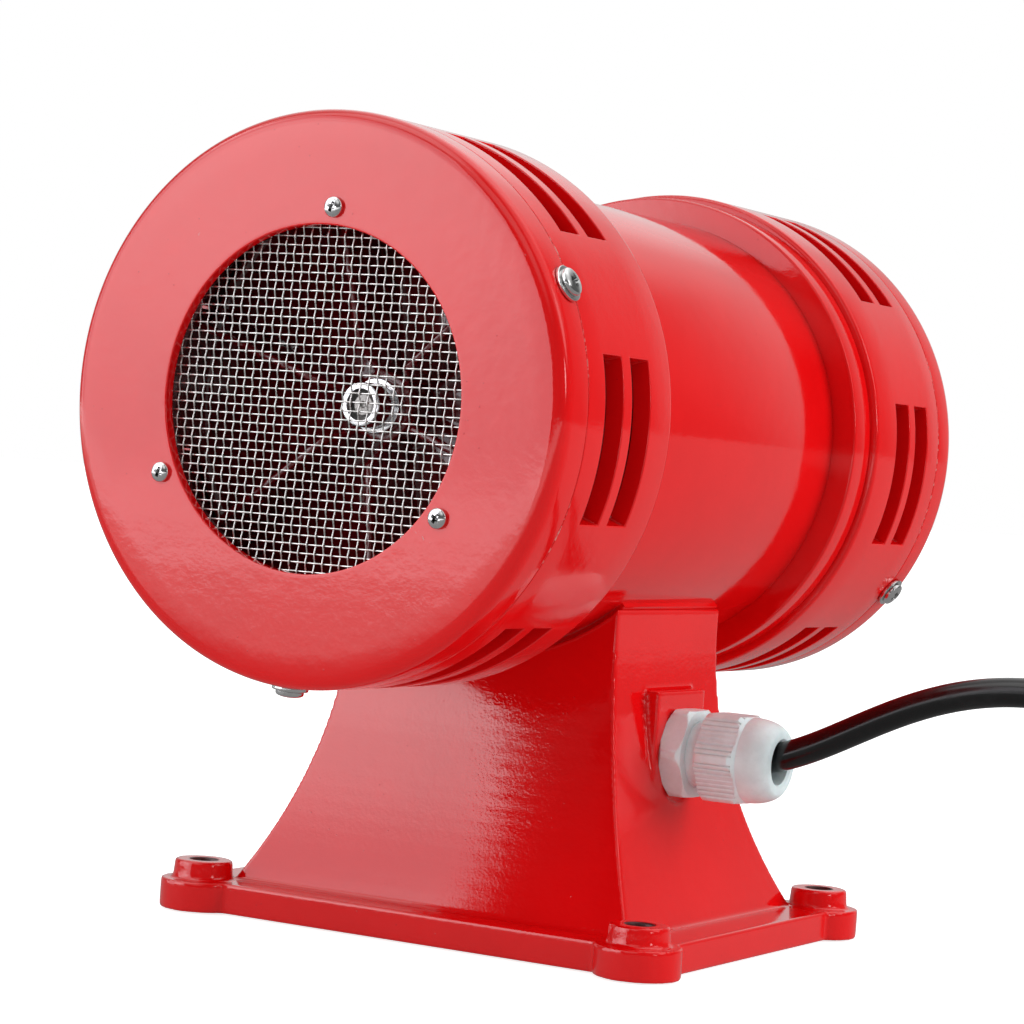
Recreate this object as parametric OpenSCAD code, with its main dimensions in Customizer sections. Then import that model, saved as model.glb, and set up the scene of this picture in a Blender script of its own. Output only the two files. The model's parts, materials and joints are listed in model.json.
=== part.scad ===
// Double-ended motor siren: a round motor housing with a slotted sound drum at each end,
// carried on a flared cast pedestal. Millimetres, +Z up, origin at the centre of the
// pedestal's underside. The rotor axis runs along Y; the front cover faces -Y and the
// cable gland sits on +X.

/* [Overall] */
// Length between the two cover faces
total_len = 242.6; // [238:0.2:248]
// Height of the rotor axis above the mounting face
axis_h = 137; // [135:0.5:140]
// Outside diameter of drums and covers
drum_d = 140; // [139.6:0.1:141]

/* [Covers] */
// Depth of the cover skirt, measured from the cover face
skirt_len = 11.1; // [10.8:0.1:11.8]
// Thickness of the cover face
cover_t = 3; // [2.6:0.1:3]
// Radius of the rounded cover edge
cover_edge_r = 3.6; // [2:0.1:4]
// Diameter of the grille opening
opening_d = 84; // [78:0.5:86]
// Radius on which the cover face screws sit
face_screw_r = 46.3; // [46.2:0.1:46.5]
// Depth of the radial side screws behind the cover face
side_screw_depth = 8.6; // [8.2:0.1:8.8]

/* [Grille] */
// Diameter of one grille wire
wire_d = 0.46; // [0.4:0.02:0.5]
// Distance between horizontal wires
wire_pitch_z = 2.18; // [2:0.01:4]
// Distance between vertical wires
wire_pitch_x = 2.38; // [2:0.01:4]

/* [Sound drums] */
// Depth of the front drum behind its cover face
front_drum_len = 55.3; // [55:0.1:56]
// Depth of the rear drum behind its cover face
rear_drum_len = 57.5; // [57:0.1:58]
// Wall thickness of a drum
drum_wall = 5; // [4.5:0.1:5]
// Angle that one sound slot spans
slot_angle = 33.7; // [20:0.1:36]
// Turn of the front drum's slots about the axis
front_phase = -4.2; // [-8:0.1:0]
// Turn of the rear drum's slots about the axis
rear_phase = -5.8; // [-8:0.1:0]

/* [Motor housing] */
// Outside radius of the motor tube
tube_r = 61.1; // [60.8:0.1:61.2]
// Wall thickness of the motor tube
tube_wall = 4; // [3.8:0.1:4]
// Depth at which the rear end shield meets the motor tube
shield_end = 68.3; // [68.2:0.1:68.6]

/* [Pedestal] */
// Half width of the pedestal at its waist
waist_x = 40.8; // [40:0.1:42]
// Half depth of the pedestal at its waist
waist_y = 30.6; // [30:0.1:32]
// Thickness of the base plate
plate_t = 8; // [7:0.5:9]
// Distance between mounting holes across the axis
hole_dx = 132; // [130:0.5:136]
// Distance between mounting holes along the axis
hole_dy = 111; // [110:0.5:114]
// Diameter of a mounting hole
hole_d = 7; // [6:0.1:8]

/* [Cable gland] */
// Height of the gland axis
gland_h = 51.8; // [51:0.1:53]
// Width across flats of the gland hexagons
gland_af = 23; // [22:0.1:23.4]
// Cable diameter
cable_d = 7.6; // [7:0.1:8]

/* [Rotors] */
// Outside radius of a rotor
rotor_r = 63.4; // [62:0.1:63.6]
// Angle that one rotor port spans
port_angle = 26; // [20:0.5:28]
// Angle from the middle of a land back to its vane
vane_lag = 16; // [0:0.5:16]

/* [Hidden] */

$fn = 96;
eps = 0.01;
fit = 0.02;            // gap between parts that sit on each other
bore_gap = 0.1;        // gap between a screw and its clearance hole
paint = [0.85, 0.1, 0.12];
steel = [0.78, 0.78, 0.8];
brass = [0.8, 0.65, 0.3];
copper = [0.72, 0.42, 0.25];
nylon = [0.82, 0.82, 0.82];
rubber = [0.12, 0.12, 0.12];

half_len = total_len / 2;
drum_r = drum_d / 2;
thirds = [0, 120, 240];
side_pair = [0, 240];  // turns of the two side screws of a cover
sixths = [0, 60, 120, 180, 240, 300];
quarters = [0, 90, 180, 270];

// Depths below are measured from a cover face inwards along the axis.
wire_depth = cover_t + 0.3;
wire_layer = wire_d + fit;
mesh_r = face_screw_r - 1.7;
ring_start = wire_depth + wire_layer + wire_d / 2 + 0.05;
ring_t = 1.6;
ring_end = ring_start + ring_t;
spigot_start = 4.5;
spigot_r = drum_r - 3;
drum_inner_r = drum_r - drum_wall;
slots = [[19.7, 29], [33.5, 43.1]];
edge_r = 1.3;
flange_t = 4;
flange_r = 46;
drum_screw_r = 51.5;
drum_screw_turn = 20;
rim_r = drum_r - 2.1;
web_t = 6;
register_len = 3.7;
thread_len = 12;
seat_r = 11.01;
seat_end = 68;
boss_r = 15;
boss_end = 70.6;
tube_inner_r = tube_r - tube_wall;

// Rotor sizes, again as depths from the cover face
rotor_start = 17;
rotor_end = 47;
rotor_wall = 2.4;
rotor_disc_t = 2.5;
vane_t = 2;
hub_r = 8.9;
collar_r = 7;
bush_r = 5.6;
bush_start = 23;
collar_start = 30;
collar_end = 33;
hub_end = 50;
bush_end = 60.9;
shaft_start = 24.4;
shaft_r = 4;
core_shaft_r = 5;

// 608 ball bearing
bearing_start = 61;
bearing_w = 7;
ball_pitch_r = 7.6;
ball_r = 1.95;
groove_r = 2.02;
balls = 7;

// Motor: half lengths are along the axis from the middle
stator_r = 44;
stator_half = 20;
armature_r = 22;
air_gap = 0.6;
comm_r = 11;
comm_from = 29;
comm_to = 41;
brush_y = 35;
brush_w = 5;
brush_h = 6;
brush_len = 14;
plate_from = 42.5;
plate_to = 46;

// Pedestal flare: concave flanks are cylinders that touch the waist
flank_r = 165;
flank_z = axis_h - 52;
face_r = 151;
face_z = axis_h - 55;
cast_wall = 4;
plate_x = 72.7;
plate_y = 60.1;
lug_r = 11.2;
lug_top_r = 7.7;
lug_h = 13.2;
pad_x = 46.2;
pad_half = 14;
pad_z = [axis_h - 95, axis_h - 68.8];
pad_back = 36.5;
saddle_pad_t = 1.3;
bolt_x = 14;
bolt_y = 20;
bolt_head_z = axis_h - 69;
wire_hole_r = 6;

// Gland, positions along X
gland_thread_r = 9.2;
gland_hex_t = 6.2;
gland_neck = 3.8;
nut_clear = 0.25;
cap_start = pad_x + gland_hex_t + gland_neck;
cap_hex_t = 12;
cap_end = cap_start + cap_hex_t + 8.2;
cap_mouth_r = 5.8;
cable_r = cable_d / 2;
cable_start = [66, gland_h];
cable_lift = [[92, gland_h + 1], [112, gland_h + 30.7], [158, gland_h + 24.2]];

// ---- helpers ----

// Places children drawn with z as depth from a cover face (side -1 front, 1 rear)
module at_end(side) {
    translate([0, 0, axis_h])
        mirror([0, side < 0 ? 1 : 0, 0])
            translate([0, half_len, 0])
                rotate([90, 0, 0])
                    children();
}

// Places children drawn with z along +Y from the middle of the rotor axis
module on_axis() {
    translate([0, 0, axis_h])
        rotate([-90, 0, 0])
            children();
}

module ring(r_out, r_in, from, to) {
    translate([0, 0, from])
        difference() {
            cylinder(r = r_out, h = to - from);
            translate([0, 0, -1]) cylinder(r = r_in, h = to - from + 2);
        }
}

module hexagon(af, h) {
    rotate(30) cylinder(r = af / sqrt(3), h = h, $fn = 6);
}

// Ring sector between two radii, centred on angle 0
module sector(r_in, r_out, from, to, angle) {
    rotate(-angle / 2)
        rotate_extrude(angle = angle)
            translate([r_in, from])
                square([r_out - r_in, to - from]);
}

// Pan head with a cross recess; the head stands on z = 0 and the shank points down
module pan_screw(head_r, head_h, shank_r, shank_len) {
    slot_w = head_r * 0.28;
    slot_l = head_r * 1.15;
    dome_r = head_r * 1.7;
    difference() {
        union() {
            intersection() {
                cylinder(r = head_r, h = head_h);
                translate([0, 0, head_h - dome_r]) sphere(r = dome_r);
            }
            translate([0, 0, -shank_len]) cylinder(r = shank_r, h = shank_len + eps);
        }
        for (a = [0, 90])
            rotate(a)
                translate([-slot_l / 2, -slot_w / 2, head_h * 0.35])
                    cube([slot_l, slot_w, head_h]);
    }
}

function arc(cx, cy, r, a0, a1, n) = [
    for (i = [0 : n]) let (a = a0 + (a1 - a0) * i / n) [cx + r * cos(a), cy + r * sin(a)]
];

// Point on a cubic curve through four control points
function bezier(c, t) =
    c[0] * pow(1 - t, 3) + c[1] * 3 * t * pow(1 - t, 2)
    + c[2] * 3 * t * t * (1 - t) + c[3] * pow(t, 3);

function curve(c, n) = [for (i = [0 : n]) bezier(c, i / n)];

function unit(v) = v / norm(v);

// Direction of a path at point i
function heading(p, i) = unit(p[min(i + 1, len(p) - 1)] - p[max(i - 1, 0)]);

// Round wire of radius r along the points of path; `side` is any vector never parallel to it
module wire(path, r, side = [0, 1, 0], n = 16) {
    m = len(path);
    rings = [
        for (i = [0 : m - 1])
            let (t = heading(path, i), u = unit(cross(t, side)), v = cross(t, u))
                for (k = [0 : n - 1])
                    let (a = 360 * k / n) path[i] + r * (cos(a) * u + sin(a) * v)
    ];
    skin = [
        for (i = [0 : m - 2]) for (k = [0 : n - 1])
            let (j = (k + 1) % n)
                [i * n + k, (i + 1) * n + k, (i + 1) * n + j, i * n + j]
    ];
    first = [for (k = [0 : n - 1]) k];
    last = [for (k = [n - 1 : -1 : 0]) (m - 1) * n + k];
    polyhedron(points = rings, faces = concat(skin, [first], [last]), convexity = 4);
}

// ---- housing ----

module flared(wall) {
    top = axis_h;
    difference() {
        translate([-90, -80, 0]) cube([180, 160, top]);
        for (s = [-1, 1]) {
            translate([s * (waist_x + flank_r), -100, flank_z])
                rotate([-90, 0, 0]) cylinder(r = flank_r + wall, h = 200, $fn = 180);
            translate([-100, s * (waist_y + face_r), face_z])
                rotate([0, 90, 0]) cylinder(r = face_r + wall, h = 200, $fn = 180);
        }
    }
}

module axis_cylinder(r) {
    translate([0, 100, axis_h]) rotate([90, 0, 0]) cylinder(r = r, h = 200);
}

module each_lug() {
    for (x = [-1, 1], y = [-1, 1])
        translate([x * hole_dx / 2, y * hole_dy / 2, 0]) children();
}

module each_saddle_bolt() {
    for (x = [-1, 1], y = [-1, 1])
        translate([x * bolt_x, y * bolt_y, 0]) children();
}

module base_pedestal() {
    color(paint)
        difference() {
            union() {
                difference() {
                    flared(0);
                    axis_cylinder(tube_r + saddle_pad_t + fit);
                    difference() {
                        translate([0, 0, -eps]) flared(cast_wall);
                        axis_cylinder(tube_r + saddle_pad_t + cast_wall);
                    }
                }
                difference() {
                    translate([-plate_x, -plate_y, 0])
                        cube([2 * plate_x, 2 * plate_y, plate_t]);
                    translate([0, 0, -1]) flared(cast_wall);
                }
                each_lug() {
                    cylinder(r = lug_r, h = plate_t);
                    cylinder(r1 = lug_top_r + 1.1, r2 = lug_top_r, h = lug_h);
                }
                translate([pad_back, -pad_half, pad_z[0]])
                    cube([pad_x - pad_back, 2 * pad_half, pad_z[1] - pad_z[0]]);
                difference() {
                    each_saddle_bolt()
                        translate([0, 0, bolt_head_z]) cylinder(r = 7, h = 10);
                    axis_cylinder(tube_r + saddle_pad_t + fit);
                }
            }
            each_lug() translate([0, 0, -1]) cylinder(r = hole_d / 2, h = lug_h + 2);
            translate([pad_back - 1, 0, gland_h])
                rotate([0, 90, 0]) cylinder(r = gland_thread_r + bore_gap, h = 20);
            translate([pad_x, 0, gland_h])
                rotate([0, 90, 0]) cylinder(r = gland_af / sqrt(3) + nut_clear, h = 20);
            each_saddle_bolt()
                translate([0, 0, bolt_head_z - 1]) cylinder(r = 2.5 + bore_gap, h = 20);
            translate([0, 0, axis_h - 80]) cylinder(r = wire_hole_r, h = 25);
        }
}

module motor_tube() {
    front_y = -half_len + front_drum_len + fit;
    rear_y = half_len - shield_end - fit;
    front_boss = front_y + web_t + fit;
    rear_boss = rear_y - register_len;
    boss_len = thread_len + 2;
    rib_w = 8;
    pad_len = 56;
    color(paint)
        difference() {
            union() {
                on_axis() ring(tube_r, tube_inner_r, front_y, rear_y);
                // saddle pad under the tube
                intersection() {
                    on_axis() ring(tube_r + saddle_pad_t, tube_r - 1, -pad_len / 2, pad_len / 2);
                    translate([-waist_x - 0.5, -pad_len / 2 - 1, 0])
                        cube([2 * waist_x + 1, pad_len + 2, axis_h]);
                }
                // ribs that hold the stator core
                on_axis()
                    for (a = quarters)
                        rotate(a + 45)
                            translate([stator_r + fit, -rib_w / 2, -stator_half])
                                cube([tube_inner_r - stator_r, rib_w, 2 * stator_half]);
                // bosses for the drum screws at each end
                for (end = [[1, front_phase, half_len + front_boss],
                            [-1, rear_phase, half_len - rear_boss]])
                    at_end(-end[0])
                        for (a = sixths)
                            rotate(end[1] + drum_screw_turn + a)
                                translate([drum_screw_r, 0, end[2]]) {
                                    cylinder(r = 4.4, h = boss_len);
                                    translate([0, -4.4, 0])
                                        cube([tube_inner_r - drum_screw_r + 0.5, 8.8, boss_len]);
                                }
                each_saddle_bolt()
                    translate([0, 0, axis_h - 57]) cylinder(r = 6, h = 57 - 49);
            }
            at_end(-1)
                drum_screw_holes(front_phase, 2 + fit, 50, half_len + front_boss + thread_len + 1);
            at_end(1)
                drum_screw_holes(rear_phase, 2 + fit, 50, half_len - rear_boss + thread_len + 1);
            each_saddle_bolt()
                translate([0, 0, axis_h - 64]) cylinder(r = 2.5 + fit, h = 64 - 51);
            translate([0, 0, axis_h - 70]) cylinder(r = wire_hole_r, h = 20);
        }
}

// Holes for the screws that clamp a drum and its end shield to the motor tube
module drum_screw_holes(phase, r, from, to) {
    for (a = sixths)
        rotate(phase + drum_screw_turn + a)
            translate([drum_screw_r, 0, from]) cylinder(r = r, h = to - from);
}

// The front shield drops inside the motor tube, behind the drum's flange
module front_end_shield() {
    start = front_drum_len + fit;
    profile = [
        [seat_r, start], [tube_inner_r - 0.05, start], [tube_inner_r - 0.05, start + web_t],
        [boss_r, start + web_t], [boss_r, boss_end], [9, boss_end], [9, seat_end],
        [seat_r, seat_end]
    ];
    color(paint)
        at_end(-1)
            difference() {
                rotate_extrude() polygon(profile);
                drum_screw_holes(front_phase, 2 + bore_gap, start - 1, start + web_t + 1);
            }
}

// The rear shield shows a rim between the rear drum and the motor tube
module rear_end_shield() {
    chamfer = 0.6;
    start = rear_drum_len + fit;
    web_start = shield_end - web_t;
    post_r = 28;
    profile = [
        [seat_r, web_start - 3], [boss_r, web_start - 3], [boss_r, web_start],
        [flange_r, web_start], [flange_r, start], [rim_r - chamfer, start],
        [rim_r, start + chamfer], [rim_r, shield_end - chamfer], [rim_r - chamfer, shield_end],
        [tube_inner_r - 0.05, shield_end], [tube_inner_r - 0.05, shield_end + register_len],
        [flange_r, shield_end + register_len], [flange_r, shield_end], [boss_r, shield_end],
        [boss_r, boss_end], [9, boss_end], [9, seat_end], [seat_r, seat_end]
    ];
    color(paint)
        difference() {
            union() {
                at_end(1)
                    difference() {
                        rotate_extrude() polygon(profile);
                        drum_screw_holes(rear_phase, 2 + bore_gap, start - 1,
                            shield_end + register_len + 1);
                    }
                // posts that carry the brush plate
                on_axis()
                    for (a = [90, 270])
                        rotate(a) translate([post_r, 0, plate_to + fit])
                            cylinder(r = 4, h = half_len - shield_end - plate_to);
            }
            on_axis()
                for (a = [90, 270])
                    rotate(a) translate([post_r, 0, plate_to - 1])
                        cylinder(r = 1.5 + fit, h = 7);
        }
}

module drum(side, phase, drum_len) {
    chamfer = 0.4;
    flange_start = drum_len - flange_t;
    profile = concat(
        [[drum_inner_r, spigot_start], [spigot_r - fit, spigot_start],
         [spigot_r - fit, skirt_len + fit], [drum_r - chamfer, skirt_len + fit],
         [drum_r, skirt_len + fit + chamfer]],
        arc(drum_r - edge_r, drum_len - edge_r, edge_r, 0, 90, 5),
        [[flange_r, drum_len], [flange_r, flange_start], [drum_inner_r, flange_start]]
    );
    color(paint)
        at_end(side)
            difference() {
                rotate_extrude($fn = 180) polygon(profile);
                for (a = sixths, s = slots)
                    rotate(phase + a) sector(drum_inner_r - 2, drum_r + 2, s[0], s[1], slot_angle);
                for (a = side_pair)
                    rotate(phase - side * 30 + a) translate([0, 0, side_screw_depth])
                        rotate([0, 90, 0]) cylinder(r = 2 + fit, h = drum_r + 5);
                drum_screw_holes(phase, 2 + bore_gap, flange_start - 1, drum_len + 1);
            }
}

module front_drum() drum(-1, front_phase, front_drum_len);
module rear_drum() drum(1, rear_phase, rear_drum_len);

module cover(side, phase) {
    profile = concat(
        [[opening_d / 2, 0]],
        arc(drum_r - cover_edge_r, cover_edge_r, cover_edge_r, -90, 0, 8),
        [[drum_r, skirt_len], [spigot_r + fit, skirt_len], [spigot_r + fit, cover_t],
         [opening_d / 2, cover_t]]
    );
    color(paint)
        at_end(side)
            difference() {
                rotate_extrude($fn = 180) polygon(profile);
                for (a = thirds)
                    rotate(phase + side * 30 + a) translate([face_screw_r, 0, -1])
                        cylinder(r = 1.5 + bore_gap, h = cover_t + 2);
                for (a = side_pair)
                    rotate(phase - side * 30 + a) translate([0, 0, side_screw_depth])
                        rotate([0, 90, 0]) cylinder(r = 2 + bore_gap, h = drum_r + 5);
            }
}

module front_cover() cover(-1, front_phase);
module rear_cover() cover(1, rear_phase);

module mesh(side) {
    rows = floor((mesh_r - 1) / wire_pitch_z);
    columns = floor((mesh_r - 1) / wire_pitch_x);
    color(steel)
        at_end(side) {
            for (i = [-rows : rows]) {
                reach = sqrt(pow(mesh_r, 2) - pow(i * wire_pitch_z, 2));
                translate([-reach, i * wire_pitch_z, wire_depth])
                    rotate([0, 90, 0]) cylinder(r = wire_d / 2, h = 2 * reach, $fn = 16);
            }
            for (i = [-columns : columns]) {
                reach = sqrt(pow(mesh_r, 2) - pow(i * wire_pitch_x, 2));
                translate([i * wire_pitch_x, reach, wire_depth + wire_layer])
                    rotate([90, 0, 0]) cylinder(r = wire_d / 2, h = 2 * reach, $fn = 16);
            }
        }
}

module front_mesh() mesh(-1);
module rear_mesh() mesh(1);

module mesh_ring(side, phase) {
    color(steel)
        at_end(side)
            difference() {
                ring(face_screw_r + 3.7, opening_d / 2 + 0.8, ring_start, ring_end);
                for (a = thirds)
                    rotate(phase + side * 30 + a) translate([face_screw_r, 0, 0])
                        cylinder(r = 1.5 + bore_gap, h = 10);
            }
}

module front_mesh_ring() mesh_ring(-1, front_phase);
module rear_mesh_ring() mesh_ring(1, rear_phase);

// Children are placed at each cover face screw, z as depth
module each_face_screw() {
    for (end = [[-1, front_phase], [1, rear_phase]], a = thirds)
        at_end(end[0])
            rotate(end[1] + end[0] * 30 + a) translate([face_screw_r, 0, 0]) children();
}

module cover_face_screws() {
    color(steel)
        each_face_screw()
            translate([0, 0, -fit]) rotate([180, 0, 20]) pan_screw(2.5, 1.7, 1.5, 9.4);
}

module cover_face_nuts() {
    color(steel)
        each_face_screw()
            translate([0, 0, ring_end + fit])
                difference() {
                    hexagon(5.5, 2.4);
                    translate([0, 0, -1]) cylinder(r = 1.5 + fit, h = 5);
                }
}

// Children are placed on the drum surface at each side screw, z pointing outwards
module each_side_screw() {
    for (end = [[-1, front_phase], [1, rear_phase]], a = side_pair)
        at_end(end[0])
            rotate(end[1] - end[0] * 30 + a)
                translate([drum_r + fit, 0, side_screw_depth]) rotate([0, 90, 0]) children();
}

module side_screws() {
    color(steel) each_side_screw() translate([0, 0, 1 + fit]) rotate(15) pan_screw(3.5, 2.5, 2, 8);
}

module side_washers() {
    color(steel) each_side_screw() ring(4.5, 2 + bore_gap, 0, 1);
}

// Each entry is side, slot phase, drum depth and how far the screw reaches past the flange
module drum_screws() {
    color(steel)
        for (end = [[-1, front_phase, front_drum_len, web_t],
                    [1, rear_phase, rear_drum_len, shield_end + register_len - rear_drum_len]],
             a = sixths)
            at_end(end[0])
                rotate(end[1] + drum_screw_turn + a)
                    translate([drum_screw_r, 0, end[2] - flange_t - fit])
                        rotate([180, 0, 0])
                            pan_screw(3.2, 2.2, 2, flange_t + end[3] + thread_len);
}

module saddle_bolts() {
    color(steel)
        each_saddle_bolt()
            translate([0, 0, bolt_head_z - fit]) {
                translate([0, 0, -3.5]) hexagon(8, 3.5);
                translate([0, 0, -eps]) cylinder(r = 2.5, h = 16);
            }
}

module wire_grommet() {
    lip_z = axis_h - tube_inner_r;
    color(rubber)
        translate([0, 0, lip_z - 8])
            difference() {
                union() {
                    cylinder(r = wire_hole_r - 0.1, h = 11);
                    translate([0, 0, 9]) cylinder(r = wire_hole_r + 1.6, h = 2);
                }
                translate([0, 0, -1]) cylinder(r = 4.2, h = 13);
            }
}

// ---- bearings ----

module ball_groove() {
    translate([0, 0, bearing_start + bearing_w / 2])
        rotate_extrude() translate([ball_pitch_r, 0]) circle(r = groove_r, $fn = 48);
}

module bearing_outer_race(side) {
    color(steel)
        at_end(side)
            difference() {
                ring(11, 9.1, bearing_start, bearing_start + bearing_w);
                ball_groove();
            }
}

module bearing_inner_race(side) {
    color(steel)
        at_end(side)
            difference() {
                ring(6.1, shaft_r + eps, bearing_start, bearing_start + bearing_w);
                ball_groove();
            }
}

module bearing_balls(side) {
    color(steel)
        at_end(side)
            for (k = [0 : balls - 1])
                rotate(360 * k / balls)
                    translate([ball_pitch_r, 0, bearing_start + bearing_w / 2])
                        sphere(r = ball_r, $fn = 48);
}

module front_bearing_outer_race() bearing_outer_race(-1);
module rear_bearing_outer_race() bearing_outer_race(1);
module front_bearing_inner_race() bearing_inner_race(-1);
module rear_bearing_inner_race() bearing_inner_race(1);
module front_bearing_balls() bearing_balls(-1);
module rear_bearing_balls() bearing_balls(1);

// ---- motor ----

module stator_core() {
    pole_w = 22;
    shoe_angle = 110;
    color([0.45, 0.45, 0.47])
        on_axis() {
            difference() {
                union() {
                    ring(stator_r, 37, -stator_half, stator_half);
                    for (s = [-1, 1])
                        rotate(s * 90) {
                            translate([armature_r + 3, -pole_w / 2, -stator_half])
                                cube([14, pole_w, 2 * stator_half]);
                            sector(armature_r + air_gap, armature_r + 5, -stator_half,
                                stator_half, shoe_angle);
                        }
                }
                translate([0, 0, -stator_half - 1])
                    cylinder(r = armature_r + air_gap, h = 2 * stator_half + 2);
            }
        }
}

module field_coils() {
    inner_w = 22.4;
    outer_w = 32.5;
    overhang = 8;
    color(copper)
        on_axis()
            for (s = [-1, 1])
                rotate(s * 90)
                    difference() {
                        translate([armature_r + 5.3, -outer_w / 2, -stator_half - overhang])
                            cube([5.6, outer_w, 2 * (stator_half + overhang)]);
                        translate([0, -inner_w / 2, -stator_half - 0.2])
                            cube([60, inner_w, 2 * stator_half + 0.4]);
                    }
}

module brush_plate() {
    color([0.45, 0.28, 0.16])
        on_axis()
            difference() {
                ring(34, 13, plate_from, plate_to);
                for (a = [90, 270])
                    rotate(a) translate([28, 0, plate_from - 1])
                        cylinder(r = 1.5 + bore_gap, h = 10);
            }
}

module brush_plate_screws() {
    color(steel)
        on_axis()
            for (a = [90, 270])
                rotate(a) translate([28, 0, plate_from - fit])
                    rotate([180, 0, 0]) pan_screw(2.7, 2, 1.5, 7.5);
}

module brush_holders() {
    holder_from = comm_r + 2;
    holder_len = 17;
    color(brass)
        on_axis()
            for (s = [-1, 1])
                scale([s, 1, 1])
                    difference() {
                        translate([holder_from, -brush_w / 2 - 1, brush_y - brush_h / 2 - 1])
                            cube([holder_len, brush_w + 2, plate_from - brush_y + brush_h / 2 + 1 - fit]);
                        translate([holder_from - 1, -brush_w / 2 - 0.05, brush_y - brush_h / 2 - 0.05])
                            cube([holder_len, brush_w + 0.1, brush_h + 0.1]);
                    }
}

module carbon_brushes() {
    color([0.2, 0.2, 0.2])
        on_axis()
            for (s = [-1, 1])
                scale([s, 1, 1])
                    translate([comm_r + 0.06, -brush_w / 2, brush_y - brush_h / 2])
                        cube([9, brush_w, brush_h]);
}

module brush_springs() {
    steps_per_turn = 12;
    steps = 4 * steps_per_turn;
    spring_from = comm_r + 9.4;
    spring_len = 7;
    spring_r = 1.9;
    helix = [
        for (i = [0 : steps])
            let (a = 360 * i / steps_per_turn)
                [spring_from + spring_len * i / steps, spring_r * cos(a), spring_r * sin(a)]
    ];
    color(steel)
        on_axis()
            for (s = [0, 180])
                translate([0, 0, brush_y]) rotate([0, 0, s])
                    wire(helix, 0.3, side = [1, 0, 0], n = 6);
}

module motor_shaft() {
    color(steel)
        on_axis() {
            reach = half_len - shaft_start;
            thick = half_len - bearing_start - bearing_w - 0.1;
            union() {
                translate([0, 0, -reach]) cylinder(r = shaft_r, h = 2 * reach);
                translate([0, 0, -thick]) cylinder(r = core_shaft_r, h = 2 * thick);
            }
        }
}

core_slots = 12;

module armature_core() {
    color([0.5, 0.5, 0.52])
        on_axis()
            difference() {
                ring(armature_r, core_shaft_r + eps, -stator_half, stator_half);
                for (k = [0 : core_slots - 1])
                    rotate(360 * k / core_slots) {
                        translate([16.5, 0, -stator_half - 1])
                            cylinder(r = 2.9, h = 2 * stator_half + 2, $fn = 32);
                        translate([17, -0.9, -stator_half - 1])
                            cube([6, 1.8, 2 * stator_half + 2]);
                    }
            }
}

module armature_winding() {
    end_from = stator_half + 0.2;
    color(copper)
        on_axis()
            union() {
                ring(20, core_shaft_r + 1, end_from, end_from + 7);
                ring(20, core_shaft_r + 1, -end_from - 7, -end_from);
                for (k = [0 : core_slots - 1])
                    rotate(360 * k / core_slots)
                        translate([16.5, 0, -end_from - 1])
                            cylinder(r = 2.6, h = 2 * end_from + 2, $fn = 32);
            }
}

module commutator() {
    color(copper)
        on_axis()
            difference() {
                ring(comm_r, core_shaft_r + eps, comm_from, comm_to);
                for (k = [0 : 2 * core_slots - 1])
                    rotate(7.5 + 360 * k / (2 * core_slots))
                        translate([comm_r - 1, -0.25, comm_from - 1])
                            cube([3, 0.5, comm_to - comm_from + 2]);
            }
}

// ---- rotors ----

module rotor(side, phase) {
    inner_r = rotor_r - rotor_wall;
    disc_from = rotor_end - rotor_disc_t;
    vane_profile = [
        [hub_r - 1, collar_end + 1], [hub_r + 6, 24], [inner_r - 12, 20], [inner_r + 1, 20],
        [inner_r + 1, disc_from + 1], [hub_r - 1, disc_from + 1]
    ];
    color(paint)
        at_end(side)
            difference() {
                union() {
                    difference() {
                        ring(rotor_r, inner_r, rotor_start, rotor_end);
                        for (a = sixths, s = slots)
                            rotate(phase + 30 + a)
                                sector(inner_r - 2, rotor_r + 2, s[0], s[1], port_angle);
                    }
                    translate([0, 0, disc_from]) cylinder(r = rotor_r - 1, h = rotor_disc_t);
                    translate([0, 0, collar_end + fit]) cylinder(r = hub_r, h = hub_end - collar_end);
                    for (a = sixths)
                        rotate(phase - vane_lag + a)
                            translate([0, vane_t / 2, 0])
                                rotate([90, 0, 0])
                                    linear_extrude(vane_t) polygon(vane_profile);
                }
                translate([0, 0, collar_end - 1])
                    cylinder(r = bush_r + eps, h = hub_end - collar_end + 3);
            }
}

module front_rotor() rotor(-1, front_phase);
module rear_rotor() rotor(1, rear_phase);

module hub_bush(side) {
    color(steel)
        at_end(side)
            difference() {
                union() {
                    translate([0, 0, bush_start]) cylinder(r = bush_r, h = bush_end - bush_start);
                    translate([0, 0, collar_start]) cylinder(r = collar_r, h = collar_end - collar_start);
                }
                translate([0, 0, bush_start - 1])
                    cylinder(r = shaft_r + eps, h = bush_end - bush_start + 2);
                translate([0, 0, 27]) rotate([0, 90, 0]) cylinder(r = 1.25 + fit, h = 20, $fn = 32);
            }
}

module front_hub_bush() hub_bush(-1);
module rear_hub_bush() hub_bush(1);

module hub_set_screws() {
    color(steel)
        for (side = [-1, 1])
            at_end(side)
                translate([shaft_r + fit, 0, 27]) rotate([0, 90, 0])
                    difference() {
                        cylinder(r = 1.25, h = 1.5, $fn = 32);
                        translate([0, 0, 0.7]) hexagon(1.2, 3);
                    }
}

// ---- gland and cable ----

module along_gland(x) {
    translate([x, 0, gland_h]) rotate([0, 90, 0]) children();
}

module gland_body() {
    color(nylon)
        difference() {
            union() {
                along_gland(pad_back - 8) cylinder(r = gland_thread_r, h = pad_x - pad_back + 9);
                along_gland(pad_x + fit) hexagon(gland_af, gland_hex_t);
                along_gland(pad_x) cylinder(r = 8.8, h = cap_start - pad_x + cap_hex_t - 2);
            }
            along_gland(0) cylinder(r = 5.2, h = cap_start + 1);
            along_gland(cap_start) cylinder(r = 7.6, h = cap_hex_t);
        }
}

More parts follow.
